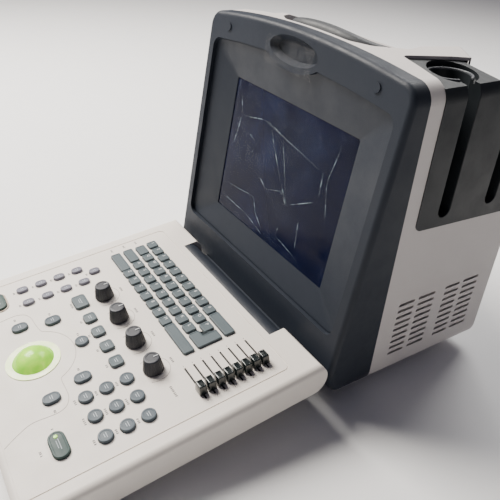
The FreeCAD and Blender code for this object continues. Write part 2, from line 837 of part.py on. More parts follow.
def controlSensors():
    """Rotary encoders under the knobs and slide potentiometers under the sliders."""
    cans = []
    for x in knob_xs:
        can = box(x - 6.5, x + 6.5, knob_y - 6.5, knob_y + 6.5, board_top, -4)
        cans.append(can.cut(post(shaft_radius + 0.06, x, knob_y, -12, 0)))
    x0, x1 = tgc_slot
    for i in range(tgc_count):
        cans.append(box(x0 - 4, x1 + 4, tgcY(i) - 3.5, tgcY(i) + 3.5, board_top, -6))
    return together(cans)


def tgcY(index):
    return tgc_first_y + index * tgc_pitch


def tgcSlider(index):
    y = tgcY(index)
    low = tgc_cap_width / 2
    high = low - 0.9
    crest = tgc_cap_high
    cap = prismX([(y - low, 0.6, 0), (y + low, 0.6, 0), (y + high, crest, 0.8), (y - high, crest, 0.8)],
                 tgc_rest_x - tgc_cap_length / 2, tgc_rest_x + tgc_cap_length / 2)
    lever = box(tgc_rest_x - 2.5, tgc_rest_x + 2.5, y - 0.5, y + 0.5, -5.5, 0.6)
    return cap.fuse(lever)


def tgcSlots():
    x0, x1 = tgc_slot
    half = tgc_slot_width / 2
    return [box(x0, x1, tgcY(i) - half, tgcY(i) + half, -4, 4) for i in range(tgc_count)]


def trackball():
    return Part.makeSphere(ball_radius, Vector(ball_x, ball_y, ball_z))


def trackballRing():
    flange = post(27, ball_x, ball_y, 0, 0.9)
    neck = post(25.4, ball_x, ball_y, -7, 0)
    return flange.fuse(neck).cut(Part.makeSphere(ball_radius + 0.35, Vector(ball_x, ball_y, ball_z)))


def controlBoard():
    board = box(-150, 150, -298, -54, board_top - board_thick, board_top)
    tools = [post(27.5, ball_x, ball_y, -20, 0)]
    tools += [post(5.5, s * 150, y, -20, 0) for s in (-1, 1) for y in (-70, -180, -290)]
    return board.cut(tools)


def keyMat():
    sheet = box(-132, 79, -124, -58, board_top, board_top + 1.2)
    domes = [post(3, x, key_rows[r], board_top + 1.2, -7.9) for r, x, width in keyCells()]
    return sheet.fuse(domes)


# export
def save(name, shape):
    placed = shape.copy()
    placed.translate(shift)
    placed.exportStep("parts/" + name + ".step")


def main():
    os.makedirs("parts", exist_ok=True)
    save("front_frame", frontFrame())
    save("screen_bezel", screenBezel())
    save("screen_glass", screenGlass())
    save("lcd_module", lcdModule())
    save("main_shell", mainShell())
    save("base_tray", baseTray())
    save("probe_pod", probePod())
    save("cup_rings", cupRings())
    save("handle", handle())
    save("feet", feet())
    save("bumpers", bumpers())
    save("hinge_block", hingeBlock())
    save("hinge_pins", hingePins())
    save("chassis", chassis())
    save("main_board", mainBoard())
    save("power_supply", powerSupply())
    save("speaker", speaker())
    save("fan_frame", fanFrame())
    save("fan_rotor", fanRotor())
    save("rear_panel", rearPanel())
    save("ac_inlet", acInlet())
    save("rear_ports", rearPorts())
    save("socket_panel", socketPanel())
    save("probe_sockets", probeSockets())
    openings = keyOpenings() + buttonOpenings() + tgcSlots()
    openings += [post(shaft_radius + 0.5, x, knob_y, -4, 4) for x in knob_xs]
    openings.append(post(25.5, ball_x, ball_y, -9, 4))
    save("console_top", inConsole(consoleTop(openings)))
    save("console_bottom", inConsole(consoleBottom()))
    save("console_feet", consoleFeet())
    save("control_board", inConsole(controlBoard()))
    save("key_mat", inConsole(keyMat()))
    save("control_sensors", inConsole(controlSensors()))
    save("trackball_ring", inConsole(trackballRing()))
    save("trackball", inConsole(trackball()))
    for row in range(4):
        save("keys_row_" + str(row + 1), inConsole(keyRow(row)))
    for name, places, width, depth in button_banks:
        save(name, inConsole(buttonBank(name, places, width, depth)))
    for i, x in enumerate(knob_xs):
        save("knob_" + str(i + 1), inConsole(knob(x)))
    for i in range(tgc_count):
        save("tgc_slider_" + str(i + 1), inConsole(tgcSlider(i)))


main()
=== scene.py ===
import bpy
import json
import math
import random
from mathutils import Matrix, Vector, noise


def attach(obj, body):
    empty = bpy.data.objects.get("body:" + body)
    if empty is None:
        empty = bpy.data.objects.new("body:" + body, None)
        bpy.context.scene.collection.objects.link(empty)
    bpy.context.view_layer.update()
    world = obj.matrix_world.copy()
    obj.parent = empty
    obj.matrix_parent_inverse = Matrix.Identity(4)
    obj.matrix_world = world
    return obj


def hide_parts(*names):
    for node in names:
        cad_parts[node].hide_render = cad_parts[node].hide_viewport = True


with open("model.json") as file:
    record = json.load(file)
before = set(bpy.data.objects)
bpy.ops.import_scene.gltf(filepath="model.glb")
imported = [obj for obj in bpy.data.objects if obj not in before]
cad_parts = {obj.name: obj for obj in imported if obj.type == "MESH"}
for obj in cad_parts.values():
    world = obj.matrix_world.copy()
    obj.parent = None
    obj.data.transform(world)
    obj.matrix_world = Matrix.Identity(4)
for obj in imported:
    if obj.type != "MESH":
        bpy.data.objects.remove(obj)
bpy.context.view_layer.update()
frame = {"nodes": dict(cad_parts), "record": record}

consoleTilt = math.radians(6.5)   # the console slopes down to the front
faceLean = math.radians(7.9)      # the screen face leans back
hingeCorner = Matrix.Translation((0, 0.0395, 0.073))   # where the console's top meets the face
consolePlace = hingeCorner @ Matrix.Rotation(consoleTilt, 4, "X")
facePlace = hingeCorner @ Matrix.Rotation(-faceLean, 4, "X")
random.seed(7)


# camera and lights
cameraSettings = {
    "place": (0.47039, -0.28020, 0.46443),
    "right": (0.53159, 0.84477, 0.06137),
    "up": (-0.47699, 0.23870, 0.84588),
    "lens": 42.02,
    "sensor": 36,
    "nearClip": 0.01,
}


def addCamera():
    right = Vector(cameraSettings["right"]).normalized()
    up = Vector(cameraSettings["up"])
    back = right.cross(up).normalized()
    up = back.cross(right)
    turn = Matrix((right, up, back)).transposed().to_4x4()
    data = bpy.data.cameras.new("camera")
    data.lens = cameraSettings["lens"]
    data.sensor_width = cameraSettings["sensor"]
    data.clip_start = cameraSettings["nearClip"]
    camera = bpy.data.objects.new("camera", data)
    camera.matrix_world = Matrix.Translation(cameraSettings["place"]) @ turn
    bpy.context.scene.collection.objects.link(camera)
    bpy.context.scene.camera = camera


lightSettings = {
    "keyLight": {"place": (-1.35, -0.55, 1.75), "size": 1.1, "power": 122, "colour": (1.0, 0.95, 0.88)},
    "backLight": {"place": (-0.7, 1.3, 1.8), "size": 1.2, "power": 36, "colour": (1.0, 0.98, 0.95)},
}

lightTarget = Vector((0, 0, 0.15))
studioSettings = {"colour": (0.80, 0.78, 1.0), "strength": 0.11}


def addLights():
    for name, values in lightSettings.items():
        data = bpy.data.lights.new(name, "AREA")
        data.size = values["size"]
        data.energy = values["power"]
        data.color = values["colour"]
        light = bpy.data.objects.new(name, data)
        place = Vector(values["place"])
        aim = (place - lightTarget).to_track_quat("Z", "Y")
        light.matrix_world = Matrix.Translation(place) @ aim.to_matrix().to_4x4()
        bpy.context.scene.collection.objects.link(light)
    world = bpy.data.worlds.new("studio")
    bpy.context.scene.world = world
    world.use_nodes = True
    background = world.node_tree.nodes["Background"]
    background.inputs["Color"].default_value = (*studioSettings["colour"], 1)
    background.inputs["Strength"].default_value = studioSettings["strength"]


# materials
def newMaterial(name, colour, roughness, metallic=0.0, specular=0.5, coat=0.0):
    material = bpy.data.materials.new(name)
    material.use_nodes = True
    shader = material.node_tree.nodes["Principled BSDF"]
    shader.inputs["Base Color"].default_value = (*colour, 1)
    shader.inputs["Roughness"].default_value = roughness
    shader.inputs["Metallic"].default_value = metallic
    shader.inputs["Specular IOR Level"].default_value = specular
    shader.inputs["Coat Weight"].default_value = coat
    return material, material.node_tree, shader


def node(tree, kind, **values):
    made = tree.nodes.new(kind)
    for key, value in values.items():
        if key in made.inputs:
            made.inputs[key].default_value = value
        else:
            setattr(made, key, value)
    return made


def objectCoords(tree):
    return tree.nodes.new("ShaderNodeTexCoord").outputs["Object"]


def ramp(tree, factor, stops):
    made = tree.nodes.new("ShaderNodeValToRGB")
    made.color_ramp.elements[0].position = stops[0][0]
    made.color_ramp.elements[0].color = (*stops[0][1], 1)
    made.color_ramp.elements[1].position = stops[-1][0]
    made.color_ramp.elements[1].color = (*stops[-1][1], 1)
    for place, colour in stops[1:-1]:
        element = made.color_ramp.elements.new(place)
        element.color = (*colour, 1)
    tree.links.new(factor, made.inputs["Fac"])
    return made.outputs["Color"]


def mapRange(tree, value, low, high, toLow, toHigh):
    made = node(tree, "ShaderNodeMapRange")
    made.inputs["From Min"].default_value = low
    made.inputs["From Max"].default_value = high
    made.inputs["To Min"].default_value = toLow
    made.inputs["To Max"].default_value = toHigh
    tree.links.new(value, made.inputs["Value"])
    return made.outputs["Result"]


def scaled(colour, factor):
    return tuple(min(1.0, c * factor) for c in colour)


# Textured moulding: spark-eroded grain, slow colour drift and faint handling marks.
def mouldedPlastic(name, colour, roughness=0.5, grain=1400, grainDepth=0.06, variation=0.06, specular=0.4,
                   coat=0.0):
    material, tree, shader = newMaterial(name, colour, roughness, specular=specular, coat=coat)
    coords = objectCoords(tree)
    drift = node(tree, "ShaderNodeTexNoise", Scale=9.0, Detail=5.0, Roughness=0.6)
    tree.links.new(coords, drift.inputs["Vector"])
    colours = ramp(tree, drift.outputs["Fac"], [(0.3, scaled(colour, 1 - variation)),
                                                (0.55, colour), (0.75, scaled(colour, 1 + variation))])
    tree.links.new(colours, shader.inputs["Base Color"])
    wear = node(tree, "ShaderNodeTexNoise", Scale=38.0, Detail=8.0, Roughness=0.7)
    tree.links.new(coords, wear.inputs["Vector"])
    tree.links.new(mapRange(tree, wear.outputs["Fac"], 0.35, 0.7, roughness - 0.08, roughness + 0.1),
                   shader.inputs["Roughness"])
    pits = node(tree, "ShaderNodeTexNoise", Scale=grain, Detail=2.0, Roughness=0.5)
    tree.links.new(coords, pits.inputs["Vector"])
    cells = node(tree, "ShaderNodeTexVoronoi", Scale=grain * 0.7)
    tree.links.new(coords, cells.inputs["Vector"])
    blend = node(tree, "ShaderNodeMath", operation="ADD")
    tree.links.new(pits.outputs["Fac"], blend.inputs[0])
    tree.links.new(cells.outputs["Distance"], blend.inputs[1])
    bump = node(tree, "ShaderNodeBump", Strength=grainDepth, Distance=0.0006)
    tree.links.new(blend.outputs["Value"], bump.inputs["Height"])
    tree.links.new(bump.outputs["Normal"], shader.inputs["Normal"])
    return material


def brushedMetal(name, colour, roughness=0.35):
    material, tree, shader = newMaterial(name, colour, roughness, metallic=1.0)
    coords = objectCoords(tree)
    stretch = node(tree, "ShaderNodeMapping")
    stretch.inputs["Scale"].default_value = (40, 900, 900)
    tree.links.new(coords, stretch.inputs["Vector"])
    lines = node(tree, "ShaderNodeTexNoise", Scale=1.0, Detail=6.0)
    tree.links.new(stretch.outputs["Vector"], lines.inputs["Vector"])
    tree.links.new(mapRange(tree, lines.outputs["Fac"], 0.3, 0.7, roughness - 0.12, roughness + 0.15),
                   shader.inputs["Roughness"])
    bump = node(tree, "ShaderNodeBump", Strength=0.15, Distance=0.0003)
    tree.links.new(lines.outputs["Fac"], bump.inputs["Height"])
    tree.links.new(bump.outputs["Normal"], shader.inputs["Normal"])
    return material


def rubber(name, colour):
    return mouldedPlastic(name, colour, roughness=0.75, grain=900, grainDepth=0.2, variation=0.15,
                          specular=0.25)


# Green solder mask with paler copper runs under it.
def circuitBoard(name):
    material, tree, shader = newMaterial(name, (0.03, 0.2, 0.08), 0.35)
    coords = objectCoords(tree)
    runs = node(tree, "ShaderNodeTexBrick", Scale=160.0)
    runs.inputs["Color1"].default_value = (0.03, 0.2, 0.08, 1)
    runs.inputs["Color2"].default_value = (0.02, 0.15, 0.06, 1)
    runs.inputs["Mortar"].default_value = (0.1, 0.34, 0.14, 1)
    tree.links.new(coords, runs.inputs["Vector"])
    tree.links.new(runs.outputs["Color"], shader.inputs["Base Color"])
    return material


# Dark display under clear glass: near black, with an emitted deep blue glow mottled by cloud and fine
# speckle; the glow is painted light, standing in for the blue sheen on the dark screen.
def displayGlass(name):
    material, tree, shader = newMaterial(name, (0.002, 0.003, 0.010), 0.12, specular=0.06)
    coords = objectCoords(tree)
    speckle = node(tree, "ShaderNodeTexNoise", Scale=620.0, Detail=4.0, Roughness=0.7)
    tree.links.new(coords, speckle.inputs["Vector"])
    cloud = node(tree, "ShaderNodeTexNoise", Scale=16.0, Detail=3.0)
    tree.links.new(coords, cloud.inputs["Vector"])
    product = node(tree, "ShaderNodeMath", operation="MULTIPLY")
    tree.links.new(speckle.outputs["Fac"], product.inputs[0])
    tree.links.new(cloud.outputs["Fac"], product.inputs[1])
    paintedGlow = ramp(tree, product.outputs["Value"], [(0.14, (0.001, 0.001, 0.006)), (0.3, (0.002, 0.003, 0.020)),
                                                 (0.46, (0.012, 0.020, 0.075))])
    # Painted glow: emitted blue in place of the sheen of light on the screen.
    tree.links.new(paintedGlow, shader.inputs["Emission Color"])
    shader.inputs["Emission Strength"].default_value = 0.8
    return material


# Thin clear plastic: mostly see-through, cloudy in patches, with fine scratches.
def clearFilm(name, opacity, tint, patchScale, cloudy, specular=0.2):
    material, tree, shader = newMaterial(name, tint, 0.18, specular=specular)
    coords = objectCoords(tree)
    patches = node(tree, "ShaderNodeTexNoise", Scale=patchScale, Detail=3.0, Distortion=1.6)
    tree.links.new(coords, patches.inputs["Vector"])
    scratches = node(tree, "ShaderNodeTexNoise", Scale=patchScale * 14, Detail=5.0, Distortion=0.6)
    tree.links.new(coords, scratches.inputs["Vector"])
    broad = mapRange(tree, patches.outputs["Fac"], 0.5, 0.58, opacity, cloudy)
    fine = mapRange(tree, scratches.outputs["Fac"], 0.35, 0.75, 0.5, 1.5)
    product = node(tree, "ShaderNodeMath", operation="MULTIPLY")
    tree.links.new(broad, product.inputs[0])
    tree.links.new(fine, product.inputs[1])
    tree.links.new(product.outputs["Value"], shader.inputs["Alpha"])
    bump = node(tree, "ShaderNodeBump", Strength=0.4, Distance=0.002)
    tree.links.new(patches.outputs["Fac"], bump.inputs["Height"])
    tree.links.new(bump.outputs["Normal"], shader.inputs["Normal"])
    return material


# Green resin ball lit from inside, veined a little and paler in patches.
def litBall(name):
    material, tree, shader = newMaterial(name, (0.25, 0.66, 0.05), 0.2, specular=0.3, coat=0.1)
    coords = objectCoords(tree)
    veins = node(tree, "ShaderNodeTexNoise", Scale=55.0, Detail=4.0, Distortion=1.2)
    tree.links.new(coords, veins.inputs["Vector"])
    colours = ramp(tree, veins.outputs["Fac"], [(0.3, (0.24, 0.62, 0.03)), (0.6, (0.40, 0.82, 0.06)),
                                                (0.8, (0.60, 0.94, 0.16))])
    tree.links.new(colours, shader.inputs["Base Color"])
    tree.links.new(colours, shader.inputs["Emission Color"])
    shader.inputs["Emission Strength"].default_value = 0.62
    shader.inputs["Subsurface Weight"].default_value = 0.15
    return material


def litRing(name):
    material, tree, shader = newMaterial(name, (0.75, 0.85, 0.4), 0.3, coat=0.2)
    coords = objectCoords(tree)
    patches = node(tree, "ShaderNodeTexNoise", Scale=70.0, Detail=3.0)
    tree.links.new(coords, patches.inputs["Vector"])
    colours = ramp(tree, patches.outputs["Fac"], [(0.35, (0.6, 0.76, 0.25)), (0.65, (0.85, 0.9, 0.5))])
    tree.links.new(colours, shader.inputs["Base Color"])
    tree.links.new(colours, shader.inputs["Emission Color"])
    shader.inputs["Emission Strength"].default_value = 0.45
    return material


finishes = {
    "frame_dark": mouldedPlastic("frameDark", (0.020, 0.025, 0.036), 0.5, 1500, 0.10, specular=0.22),
    "screen": displayGlass("displayGlass"),
    # Pale shell plastic: the same cream as the console, with its base darkened and greyed as painted shade
    # for the shell's shadowed sides.
    "shell_light": mouldedPlastic("shellShaded", (0.62, 0.58, 0.56), 0.5, 1300, 0.10, 0.035, specular=0.3),
    "pod_dark": mouldedPlastic("podDark", (0.014, 0.017, 0.020), 0.44, 1500, 0.10, specular=0.25),
    "handle_grey": mouldedPlastic("handleGrey", (0.050, 0.054, 0.060), 0.5, 1200, 0.14, specular=0.3),
    "ring_grey": mouldedPlastic("ringGrey", (0.085, 0.09, 0.10), 0.3, 900, 0.05),
    "rubber_black": rubber("rubberBlack", (0.02, 0.02, 0.02)),
    "steel": brushedMetal("brushedSteel", (0.6, 0.61, 0.63)),
    "board_green": circuitBoard("circuitBoard"),
    "fan_black": mouldedPlastic("fanBlack", (0.02, 0.02, 0.022), 0.55, 1100, 0.12),
    "console_light": mouldedPlastic("consoleLight", (0.88, 0.82, 0.75), 0.48, 1600, 0.08, 0.03, specular=0.3),
    "key_grey": mouldedPlastic("keyGrey", (0.10, 0.13, 0.145), 0.5, 1600, 0.08, specular=0.3),
    "button_grey": mouldedPlastic("buttonGrey", (0.085, 0.112, 0.135), 0.48, 1600, 0.08, specular=0.3),
    "button_lilac": mouldedPlastic("buttonLilac", (0.19, 0.19, 0.24), 0.48, 1600, 0.08, specular=0.3),
    "freeze_dark": mouldedPlastic("freezeDark", (0.040, 0.075, 0.070), 0.5, 1600, 0.06, specular=0.3),
    "knob_charcoal": mouldedPlastic("knobCharcoal", (0.030, 0.033, 0.044), 0.45, 1400, 0.1, specular=0.4),
    "slider_black": mouldedPlastic("sliderBlack", (0.011, 0.017, 0.017), 0.22, 1600, 0.03, coat=0.5),
    "ball_green": litBall("ballGreen"),
    "ball_ring": litRing("ballRing"),
}
extraFinishes = {
    # Paler copies of the key, button and lilac greys for the sunk tops: painted light on the top faces.
    "keyTopPaintedLight": mouldedPlastic("keyTopPaintedLight", (0.17, 0.21, 0.225), 0.55, 1800, 0.06, specular=0.3),
    "buttonTopPaintedLight": mouldedPlastic("buttonTopPaintedLight", (0.125, 0.155, 0.185), 0.5, 1800, 0.06, specular=0.3),
    "lilacTopPaintedLight": mouldedPlastic("lilacTopPaintedLight", (0.27, 0.27, 0.33), 0.5, 1800, 0.06, specular=0.3),
    "inkDark": mouldedPlastic("inkDark", (0.05, 0.045, 0.055), 0.55, 900, 0.03, specular=0.2),
    "inkPale": mouldedPlastic("inkPale", (0.42, 0.46, 0.50), 0.55, 900, 0.03, specular=0.2),
    "lineGrey": mouldedPlastic("lineGrey", (0.60, 0.55, 0.50), 0.5, 900, 0.03, specular=0.2),
    "inkLight": mouldedPlastic("inkLight", (0.75, 0.78, 0.80), 0.5, 900, 0.03),
    "slotBlack": mouldedPlastic("slotBlack", (0.008, 0.008, 0.01), 0.6, 900, 0.05),
    "filterFoam": rubber("filterFoam", (0.012, 0.012, 0.015)),
    "film": clearFilm("protectiveFilm", 0.006, (0.42, 0.50, 0.80), 15, 0.022),
    # Pale blue strips, more opaque and glossy, laid along the creases: painted highlights on the folds of the
    # film.
    "creaseHighlight": clearFilm("filmCreaseHighlight", 0.22, (0.66, 0.82, 1.0), 60, 0.85, 0.8),
    "tape": clearFilm("clearTape", 0.012, (0.80, 0.78, 0.74), 40, 0.035),
    "powerRing": mouldedPlastic("powerRing", (0.62, 0.52, 0.42), 0.35, 900, 0.04),
    "greenLamp": litBall("greenLamp"),
}


def dressNodes():
    for item in frame["record"]["subparts"]:
        part = frame["nodes"][item["node"]]
        part.data.materials.clear()
        part.data.materials.append(finishes[item["material_slot"]])


# modelling helpers
def deselectAll():
    if bpy.context.object and bpy.context.object.mode != "OBJECT":
        bpy.ops.object.mode_set(mode="OBJECT")
    bpy.ops.object.select_all(action="DESELECT")


# A box at its size and place, ready to be shaped.
def startBox(name, size, place):
    deselectAll()
    bpy.ops.mesh.primitive_cube_add(size=1, location=place)
    piece = bpy.context.object
    piece.name = name
    piece.data.name = name
    piece.scale = size
    bpy.ops.object.transform_apply(location=True, rotation=True, scale=True)
    return piece


def startCylinder(name, radius, depth, place, sides=48):
    deselectAll()
    bpy.ops.mesh.primitive_cylinder_add(vertices=sides, radius=radius, depth=depth, location=place)
    piece = bpy.context.object
    piece.name = name
    piece.data.name = name
    bpy.ops.object.transform_apply(location=True, rotation=True, scale=True)
    return piece


# Leaves the piece in edit mode with just the items that pass the test selected.
def pick(items, kind, test):
    bpy.ops.object.mode_set(mode="EDIT")
    bpy.ops.mesh.select_mode(type=kind)
    bpy.ops.mesh.select_all(action="DESELECT")
    bpy.ops.object.mode_set(mode="OBJECT")
    for item in items:
        item.select = bool(test(item))
    bpy.ops.object.mode_set(mode="EDIT")


def pickFaces(piece, test):
    pick(piece.data.polygons, "FACE", test)


def pickPoints(piece, test):
    pick(piece.data.vertices, "VERT", lambda point: test(point.co))


def pickUprightEdges(piece):
    points = piece.data.vertices
    pick(piece.data.edges, "EDGE",
         lambda edge: abs(points[edge.vertices[0]].co.z - points[edge.vertices[1]].co.z) > 1e-5)


def leaveEdit():
    bpy.ops.object.mode_set(mode="OBJECT")


def roundEdges(piece, width, segments=2, angle=35):
    modifier = piece.modifiers.new("rounding", "BEVEL")
    modifier.width = width
    modifier.segments = segments
    modifier.limit_method = "ANGLE"
    modifier.angle_limit = math.radians(angle)
    bpy.context.view_layer.objects.active = piece
    bpy.ops.object.modifier_apply(modifier=modifier.name)


def smooth(piece, angle=35):
    deselectAll()
    piece.select_set(True)
    bpy.context.view_layer.objects.active = piece
    bpy.ops.object.shade_smooth_by_angle(angle=math.radians(angle))


def copyOf(piece, name, shift):
    made = piece.copy()
    made.data = piece.data.copy()
    made.name = name
    bpy.context.scene.collection.objects.link(made)
    made.data.transform(Matrix.Translation(shift))
    return made


def joined(name, items):
    deselectAll()
    for item in items:
        item.select_set(True)
    bpy.context.view_layer.objects.active = items[0]
    if len(items) > 1:
        bpy.ops.object.join()
    piece = bpy.context.object
    piece.name = name
    piece.data.name = name
    return piece


# Puts a finished piece in its place in the machine and fixes it to a body.
def settle(piece, place, body, replaced=()):
    piece.data.transform(place)
    piece.data.update()
    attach(piece, body)
    if replaced:
        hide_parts(*replaced)


def paint(piece, *materials):
    piece.data.materials.clear()
    for material in materials:
        piece.data.materials.append(material)


# keys and buttons
keySettings = {
    "rowLines": (-0.0665, -0.0822, -0.09825, -0.1145),   # from the back row to the front row
    "pitch": 0.01676,
    "width": 0.0132,
    "depth": 0.012,
    "top": 0.0028,
    "foot": -0.004,
    "corner": 0.0019,
    "border": 0.0010,
    "dish": 0.0003,
    "letters": ("1234567890", "QWERTYUIOP", "ASDFGHJKL", "ZXCVBNM"),
    "letterSize": 0.0052,
    "letterShift": (-0.0022, 0.0018, -0.00022),
    "letterThickness": 0.00012,
}
enterSettings = {
    "middle": 0.0687,
    "width": 0.0134,
    "back": -0.0762,
    "step": -0.09225,
    "front": -0.10425,
    "reach": -0.0095,
    "corner": 0.0015,
    "border": 0.0006,
}


# One cap: round or straight sided, with a softened rim and a slightly sunk top painted paler, as painted
# light falling on the top.
def capShape(name, width, depth, top, foot, corner, border, dish):
    if corner > min(width, depth) * 0.45:
        piece = startCylinder(name, min(width, depth) / 2, top - foot, (0, 0, (top + foot) / 2), 48)
        stretchEnds(piece, (width - depth) / 2)
    else:
        piece = startBox(name, (width, depth, top - foot), (0, 0, (top + foot) / 2))
        pickUprightEdges(piece)
        bpy.ops.mesh.bevel(offset=corner, segments=4)
        leaveEdit()
    roundEdges(piece, 0.0006, 3, 60)
    sinkTop(piece, top, border, dish)
    return piece


# Moves the two halves of a round shape apart, along X where reach is positive, else along Y.
def stretchEnds(piece, reach):
    if abs(reach) < 1e-6:
        return
    axis = 0 if reach > 0 else 1
    for side in (-1, 1):
        pickPoints(piece, lambda p: p[axis] * side > 1e-5)
        shift = [0, 0, 0]
        shift[axis] = side * abs(reach)
        bpy.ops.transform.translate(value=shift, orient_type="GLOBAL")
        leaveEdit()


def sinkTop(piece, top, border, dish):
    pickFaces(piece, lambda f: f.normal.z > 0.99 and f.center.z > top - 1e-5)
    bpy.ops.mesh.inset(thickness=border, depth=0)
    bpy.ops.mesh.inset(thickness=0.0004, depth=-dish)
    leaveEdit()
    # Slot 1, the sunk top, gets the paler finish: painted light on the top face.
    paint(piece, None, None)
    for face in piece.data.polygons:
        face.material_index = int(face.select or (face.normal.z > 0.99 and face.center.z < top - dish * 0.8
                                                  and face.center.z > top - dish * 1.2))


# Every key as (row, middle, width), rows from the back to the front.
def keyList():
    pitch = keySettings["pitch"]
    width = keySettings["width"]
    keys = [(0, -0.1214 + i * pitch, width) for i in range(10)] + [(0, 0.0568, 0.037)]
    keys += [(1, -0.1176, 0.019)] + [(1, -0.09896 + i * pitch, width) for i in range(10)]
    keys += [(2, -0.1146, 0.0275)] + [(2, -0.0915 + i * pitch, width) for i in range(9)]
    keys += [(3, -0.109, 0.038)] + [(3, -0.08225 + i * pitch, width) for i in range(7)]
    keys.append((3, 0.0512, 0.0484))
    return keys


# A printed letter, laid flat and made a mesh.
def letterMark(text, place):
    curve = bpy.data.curves.new("letter", "FONT")
    curve.body = text
    curve.size = keySettings["letterSize"]
    curve.align_x = "CENTER"
    curve.align_y = "CENTER"
    curve.extrude = keySettings["letterThickness"] / 2
    curve.resolution_u = 2
    mark = bpy.data.objects.new("letter", curve)
    bpy.context.scene.collection.objects.link(mark)
    bpy.context.view_layer.update()
    mesh = bpy.data.meshes.new_from_object(mark)
    bpy.data.objects.remove(mark)
    made = bpy.data.objects.new("letter", mesh)
    mesh.transform(Matrix.Translation(place))
    bpy.context.scene.collection.objects.link(made)
    return made


def makeKeys():
    values = keySettings
    patterns = {}
    rows = [[], [], [], []]
    marks = [[], [], [], []]
    for row, middle, width in keyList():
        if width not in patterns:
            patterns[width] = capShape("keyPattern", width, values["depth"], values["top"], values["foot"],
                                       values["corner"], values["border"], values["dish"])
        line = values["rowLines"][row]
        rows[row].append(copyOf(patterns[width], "key", (middle, line, 0)))
        letters = values["letters"][row]
        if width == values["width"] and len(marks[row]) < len(letters):
            place = Vector((middle, line, values["top"])) + Vector(values["letterShift"])
            marks[row].append(letterMark(letters[len(marks[row])], place))
    rows[1].append(makeEnterKey())
    for pattern in patterns.values():
        bpy.data.objects.remove(pattern)
    for i in range(len(rows)):
        body = "keys_row_" + str(i + 1)
        keys = joined("keysRow" + str(i + 1), rows[i])
        paint(keys, finishes["key_grey"], extraFinishes["keyTopPaintedLight"])
        smooth(keys)
        settle(keys, consolePlace, body, [body])
        legend = joined("legendRow" + str(i + 1), marks[i])
        paint(legend, extraFinishes["inkLight"])
        settle(legend, consolePlace, body)
    print("keys made")


# The large L-shaped key: a box with its front part drawn out and then widened to the left.
def makeEnterKey():
    values = enterSettings
    top = keySettings["top"]
    foot = keySettings["foot"]
    back, step = values["back"], values["step"]
    size = (values["width"], back - step, top - foot)
    piece = startBox("enterKey", size, (values["middle"], (back + step) / 2, (top + foot) / 2))
    drawOut(piece, lambda f: f.normal.y < -0.9, (0, values["front"] - step, 0))
    drawOut(piece, lambda f: f.normal.x < -0.9 and f.center.y < step, (values["reach"], 0, 0))
    bpy.ops.object.mode_set(mode="EDIT")
    bpy.ops.mesh.select_all(action="SELECT")
    bpy.ops.mesh.remove_doubles(threshold=1e-6)
    bpy.ops.mesh.dissolve_limited(angle_limit=0.02)
    leaveEdit()
    pickUprightEdges(piece)
    bpy.ops.mesh.bevel(offset=values["corner"], segments=3)
    leaveEdit()
    roundEdges(piece, 0.0005, 2, 60)
    sinkTop(piece, top, values["border"], keySettings["dish"])
    return piece


def drawOut(piece, test, shift):
    pickFaces(piece, test)
    bpy.ops.mesh.extrude_region()
    bpy.ops.transform.translate(value=shift, orient_type="GLOBAL")
    leaveEdit()


buttonSettings = {
    "top": 0.0032,
    "foot": -0.004,
    "border": 0.0012,
    "dish": 0.0003,
    "barLift": -0.00026,
    "barShare": 0.42,
    "banks": {
        "round_buttons_left": ([(0.0721, -0.181), (0.0721, -0.2016), (0.0721, -0.2221)],
                               0.014, 0.014, 0.007),
        "round_buttons_middle": ([(0.0981, -0.181), (0.0981, -0.2016), (0.0981, -0.2221)],
                                 0.014, 0.014, 0.007),
        "round_buttons_right": ([(0.1243, -0.181), (0.1243, -0.2016), (0.1243, -0.2221)],
                                0.014, 0.014, 0.007),
        "freeze_button": ([(0.1105, -0.2595)], 0.030, 0.015, 0.0075),
        "power_button": ([(-0.117, -0.2595)], 0.030, 0.015, 0.0075),
        "select_button_right": ([(0.0556, -0.2497)], 0.0125, 0.017, 0.006),
        "cursor_button_right": ([(0.0465, -0.2163)], 0.0125, 0.017, 0.006),
        "select_button_left": ([(-0.0603, -0.2497)], 0.0125, 0.017, 0.006),
        "cursor_button_left": ([(-0.0518, -0.2165)], 0.0125, 0.017, 0.006),
        "centre_button": ([(-0.0025, -0.2004)], 0.014, 0.014, 0.007),
        "function_buttons": ([(-0.1245, -0.2306), (-0.1245, -0.2088), (-0.1245, -0.187), (-0.1245, -0.1652),
                              (-0.0982, -0.2301), (-0.0982, -0.2083), (-0.0982, -0.1866), (-0.0982, -0.1649),
                              (-0.1113, -0.1476)], 0.009, 0.013, 0.0045),
        "mode_keys": ([(-0.0646, -0.181, 0.0225, 0.0155), (-0.0323, -0.181), (-0.0067, -0.181),
                       (0.0189, -0.181), (0.0448, -0.181)], 0.0145, 0.0135, 0.0035),
    },
    "slots": {"function_buttons": "button_lilac", "mode_keys": "key_grey",
              "freeze_button": "freeze_dark", "power_button": "freeze_dark"},
    "tops": {"function_buttons": "lilacTopPaintedLight", "mode_keys": "keyTopPaintedLight"},
}


# Two short pale bars printed on a cap.
def capBars(x, y, top, length):
    return [startBox("capBar", (length * share, 0.0007, 0.00014), (x, y + lift, top))
            for share, lift in ((1.0, 0.0010), (0.7, -0.0010))]


